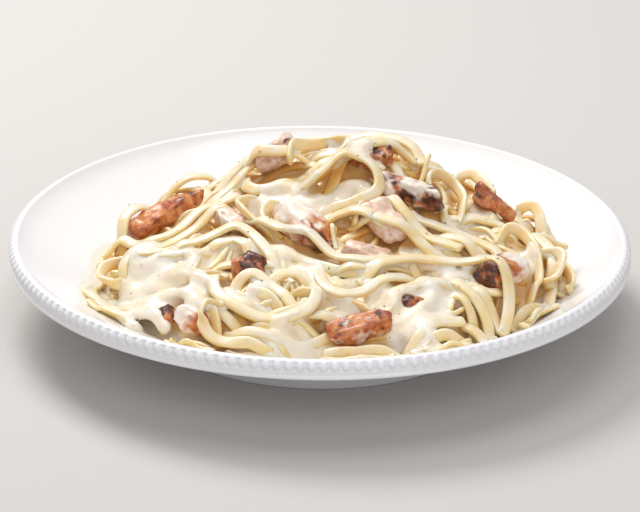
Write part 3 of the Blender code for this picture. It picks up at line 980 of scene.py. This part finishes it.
def without_pinches(field):
    """The field with every lattice square whose two corners inside are opposite ones filled, so that
    its surface nowhere touches itself along an edge."""
    while True:
        inside = field > 0
        fill = np.zeros_like(inside)
        for axis in range(3):
            a, b = (other for other in range(3) if other != axis)
            corners = []
            for on_a, on_b in ((0, 0), (1, 0), (0, 1), (1, 1)):
                part = [slice(None)] * 3
                part[a] = slice(on_a, field.shape[a] - 1 + on_a)
                part[b] = slice(on_b, field.shape[b] - 1 + on_b)
                corners.append(tuple(part))
            c00, c10, c01, c11 = (inside[part] for part in corners)
            pinched = (c00 == c11) & (c10 == c01) & (c00 != c10)
            for part in corners:
                fill[part] |= pinched
        fill &= ~inside
        if not fill.any():
            return field
        field = np.where(fill, np.float32(0.01), field)


def closed_surface(field):
    """Surface where the field crosses zero, one point for each cell that it crosses, at the mean of
    the crossings on the cell's edges, and one quad round each crossed edge of the lattice."""
    inside = field > 0
    core = tuple(slice(0, n - 1) for n in field.shape)
    count = sum(
        inside[tuple(slice(c, n - 1 + c) for c, n in zip(corner, field.shape))].astype(np.int8)
        for corner in np.ndindex(2, 2, 2)
    )
    crossed = (count > 0) & (count < 8)
    cell = np.argwhere(crossed)
    number = -np.ones(field[core].shape, int)
    number[crossed] = np.arange(len(cell))
    total, hits = np.zeros((len(cell), 3)), np.zeros(len(cell))
    for axis in range(3):
        for corner in np.ndindex(2, 2, 2):
            if corner[axis]:
                continue
            step = np.eye(3, dtype=int)[axis]
            first = field[tuple((cell + corner).T)]
            second = field[tuple((cell + corner + step).T)]
            cuts = (first > 0) != (second > 0)
            part = np.where(cuts, first / np.where(cuts, first - second, 1), 0)
            total += cuts[:, None] * (np.array(corner) + part[:, None] * step)
            hits += cuts
    points = cell + total / hits[:, None]
    faces = []
    for axis in range(3):
        others = [a for a in range(3) if a != axis]
        low = [slice(1, -1)] * 3
        low[axis] = slice(0, -1)
        high = list(low)
        high[axis] = slice(1, None)
        first, second = inside[tuple(low)], inside[tuple(high)]
        edge = np.argwhere(first != second)
        start = edge + 1
        start[:, axis] -= 1
        leaving = first[first != second]
        ring = []
        for back in ((0, 0), (1, 0), (1, 1), (0, 1)):
            at = start.copy()
            at[:, others[0]] -= back[0]
            at[:, others[1]] -= back[1]
            ring.append(number[tuple(at.T)])
        quad = np.stack(ring, axis=1)
        flip = leaving if axis == 1 else ~leaving
        quad[flip] = quad[flip][:, ::-1]
        faces.append(quad)
    return points * SAUCE_CELL + SAUCE_LOW, np.concatenate(faces)


def make_sauce(strands, settled, envelope, material):
    """The cream that holds the heap together, over a solid core.

    Its volume is that of the strands together with all that lies under a level, which keeps a fixed
    drop under both the pile's envelope and that of the lower strands, and rises where cream lies
    thick.  Blurred and cut at a share that falls where cream lies thick, it gathers in the creases
    between strands, rounds them over and coats them.
    """
    axes = [low + SAUCE_CELL * np.arange(n) for low, n in zip(SAUCE_LOW, SAUCE_SHAPE)]
    x, y, z = np.meshgrid(*axes, indexing="ij")
    flat_x, flat_y = x[:, :, 0], y[:, :, 0]
    floor = well_height(np.hypot(flat_x, flat_y))
    place = np.stack([flat_x, flat_y, 0 * flat_x], axis=-1)
    amount = np.clip(0.3 + 0.5 * noise(place, 17, 5) + 0.25 * noise(place, 8, 6), 0.0, 0.9)
    for patch_x, patch_y, radius, change in SAUCE_PATCHES:
        amount += change * np.exp(-((flat_x - patch_x) ** 2 + (flat_y - patch_y) ** 2) / radius**2)
    amount = np.clip(amount, LEAST_CREAM, MOST_CREAM)
    level = np.minimum(envelope - PILE_DROP, settled - SETTLED_DROP)[cells(flat_x, flat_y)]
    level += FILL_RISE * amount + GAP_SINK * np.minimum(amount, 0)
    filled = np.clip(0.5 + (level[:, :, None] - z) / SAUCE_CELL, 0, 1).astype(np.float32)
    volume = np.maximum(strand_volume(strands), filled)
    field = blurred(volume, SAUCE_BLUR) - (BARE_CUT - THICK_CUT * amount[:, :, None])
    under = z - floor[:, :, None] - 0.4
    field = np.minimum(field, under * 0.3)
    field[[0, -1]] = field[:, [0, -1]] = field[:, :, [0, -1]] = -1
    points, faces = closed_surface(without_pinches(field))
    return make_piece("cream_sauce", points, faces.tolist(), material, "cream_sauce", "pasta_heap")


POOL_DEPTH, POOL_RIPPLE = 1.9, 0.5


def make_pool(material):
    """Cream that has run out on the plate: a sheet whose depth falls off as 1 - share^6 and ripples,
    laid over the well, with its outline pushed in and out."""
    low, high = (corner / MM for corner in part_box("sauce_pool"))
    middle = np.array([low[0] + high[0], low[1] + high[1]]) / 2
    size = (high[0] - low[0] + high[1] - low[1]) / 4
    rows, columns = 60, 360
    angle = np.arange(columns) * 2 * np.pi / columns
    wander = 0.03 * np.cos(2 * angle - 0.8) + 0.025 * np.cos(5 * angle)
    edge = size * (0.98 + wander + 0.014 * np.cos(11 * angle + 1))
    share = np.linspace(0.02, 1, rows)[:, None] ** 0.6
    x = middle[0] + share * edge * np.cos(angle)
    y = middle[1] + share * edge * np.sin(angle)
    base = well_height(np.hypot(x, y))
    ripple = noise(np.stack([x, y, 0 * x], axis=-1), 9, 3)
    depth = (POOL_DEPTH + POOL_RIPPLE * ripple) * np.sqrt(np.clip(1 - share**6, 0, 1))
    upper = np.stack([x, y, base + 0.05 + depth], axis=-1)
    lower = np.stack([x, y, base - 0.4 + 0 * depth], axis=-1)[::-1]
    points = np.concatenate([upper, lower]).reshape(-1, 3)
    faces = [face[::-1] for face in tube_faces(2 * rows, columns)]
    return make_piece("cream_pool", points, faces, material, "cream_sauce", "sauce_pool")


# ---------------------------------------------------------------- pepper

PEPPER_FLAKES = 130
PEPPER_REACH = 104.0


def make_pepper(material):
    """Flakes of ground pepper resting on the food: octahedra flattened and knocked out of shape."""
    chance = np.random.default_rng(11)
    corners = np.array([(1, 0, 0), (0, 1, 0), (-1, 0, 0), (0, -1, 0), (0, 0, 1), (0, 0, -1)], float)
    sides = [(0, 1, 4), (1, 2, 4), (2, 3, 4), (3, 0, 4), (1, 0, 5), (2, 1, 5), (3, 2, 5), (0, 3, 5)]
    points, faces = [], []
    for number in range(PEPPER_FLAKES):
        angle = chance.uniform(0, 2 * np.pi)
        out = PEPPER_REACH * np.sqrt(chance.uniform())
        x = HEAP_CENTRE[0] + out * np.cos(angle)
        y = HEAP_CENTRE[1] + out * np.sin(angle)
        size = chance.uniform(0.35, 0.75) * np.array([1, chance.uniform(0.6, 1), 0.5])
        flake = corners * size * chance.uniform(0.75, 1.2, (6, 1))
        turn = np.array(Matrix.Rotation(chance.uniform(0, 6), 3, "Z"))
        place = (x, y, pile[cells(np.array([x]), np.array([y]))][0] + 0.05)
        points.append(flake @ turn.T + place)
        faces += [[corner + 6 * number for corner in side] for side in sides]
    made = make_piece("pepper_flakes", np.concatenate(points), faces, material, "cream_sauce")
    made.data.shade_flat()
    return made


# ---------------------------------------------------------------- camera, floor and light

VIEW_HEIGHT_ANGLE = 22.85
VIEW_ROLL = 0.56
VIEW_DISTANCE = 1800.0
VIEW_WIDTH = 309.3  # how much of the object's width fills the picture
SENSOR_WIDTH = 36.0


def make_camera():
    data = bpy.data.cameras.new("view")
    data.sensor_width = SENSOR_WIDTH
    data.lens = SENSOR_WIDTH * VIEW_DISTANCE / VIEW_WIDTH
    data.clip_end = 20
    camera = bpy.data.objects.new("view", data)
    bpy.context.scene.collection.objects.link(camera)
    tilt = np.radians(VIEW_HEIGHT_ANGLE)
    aim = Vector((0.3, 0, RIM_HEIGHT - 11.6)) * MM
    away = Vector((0, -np.cos(tilt), np.sin(tilt)))
    turn = away.to_track_quat("Z", "Y").to_matrix().to_4x4()
    roll = Matrix.Rotation(np.radians(VIEW_ROLL), 4, "Z")
    camera.matrix_world = Matrix.Translation(aim + away * VIEW_DISTANCE * MM) @ turn @ roll
    bpy.context.scene.camera = camera


def make_floor():
    """A plain pale floor, wide enough to fill every view."""
    made, tree, shader = start_material("studio_floor")
    set_inputs(tree, shader, {"Base Color": srgb("#C9C6C2"), "Roughness": 0.8})
    reach = 4000.0
    points = [(-reach, -reach, 0), (reach, -reach, 0), (reach, reach, 0), (-reach, reach, 0)]
    make_piece("floor", points, [(0, 1, 2, 3)], made, None)


def make_light(name, place, size, power, colour):
    data = bpy.data.lights.new(name, "AREA")
    data.shape = "DISK"
    data.size = size
    data.energy = power
    data.color = srgb(colour)[:3]
    lamp = bpy.data.objects.new(name, data)
    bpy.context.scene.collection.objects.link(lamp)
    lamp.location = place
    lamp.rotation_euler = Vector(place).to_track_quat("Z", "Y").to_euler()


def make_studio():
    make_floor()
    make_light("window", (-0.5, 0.75, 1.15), 0.7, 15, "#FFFDFA")
    make_light("front_fill", (0.3, -1.6, 1.0), 1.6, 10, "#FCFBFF")
    make_light("overhead", (0.1, 0.1, 1.6), 1.2, 7.5, "#FDFCFF")
    world = bpy.data.worlds.new("studio")
    world.use_nodes = True
    background = world.node_tree.nodes["Background"]
    set_inputs(world.node_tree, background, {"Color": srgb("#F4F3F7"), "Strength": 0.43})
    bpy.context.scene.world = world
    bpy.context.scene.view_settings.view_transform = "Standard"


# ---------------------------------------------------------------- build


def main():
    make_camera()
    make_studio()
    pasta, chicken = boiled_fettuccine(), grilled_chicken()
    sauce = cream_sauce("cream_sauce", "#EFDFC0", "#F1E5CE", "#F3ECDE")
    make_plate(glazed_porcelain())
    under = drawn_strands(200, 1, radius=(20, 60), sweep=(100, 260), ceiling=-5)
    under += edge_strands(140, 5, inner=0.7, outer=0.98, ceiling=-4)
    under += drawn_strands(600, 2, radius=(14, 40), sweep=(90, 220), ceiling=-1)
    under += drawn_strands(1100, 6, radius=(10, 30), sweep=(60, 160), ceiling=1)
    settled = pile_envelope()
    for number, (name, cooked) in enumerate(COOKED.items(), 1):
        make_chicken(name, cooked, number, chicken)
    back = drawn_strands(500, 3, radius=(14, 40), sweep=(90, 240), ceiling=2.5, behind=30)
    beside = strands_beside(FRONT_STRANDS, 600, 4, ceiling=2)
    front = [
        lay_strand(route_through(points), turn, bare_end=bool(bare))
        for turn, points, *bare in FRONT_STRANDS
    ]
    upper = back + beside + front
    envelope = pile_envelope()
    food = [
        make_noodles("noodles_lower", under, **LOWER_MESH, material=pasta),
        make_noodles("noodles_upper", upper, **UPPER_MESH, material=pasta),
        make_sauce(under + upper, settled, envelope, sauce),
    ]
    # Painted shade in the heap's hollows, read by each food material.
    for made in food:
        mark_hollow_shade(made, envelope)
    make_pool(cream_sauce("spread_cream", "#F0E5CF", "#F2EADA", "#F4EFE4"))
    make_pepper(ground_pepper())


main()
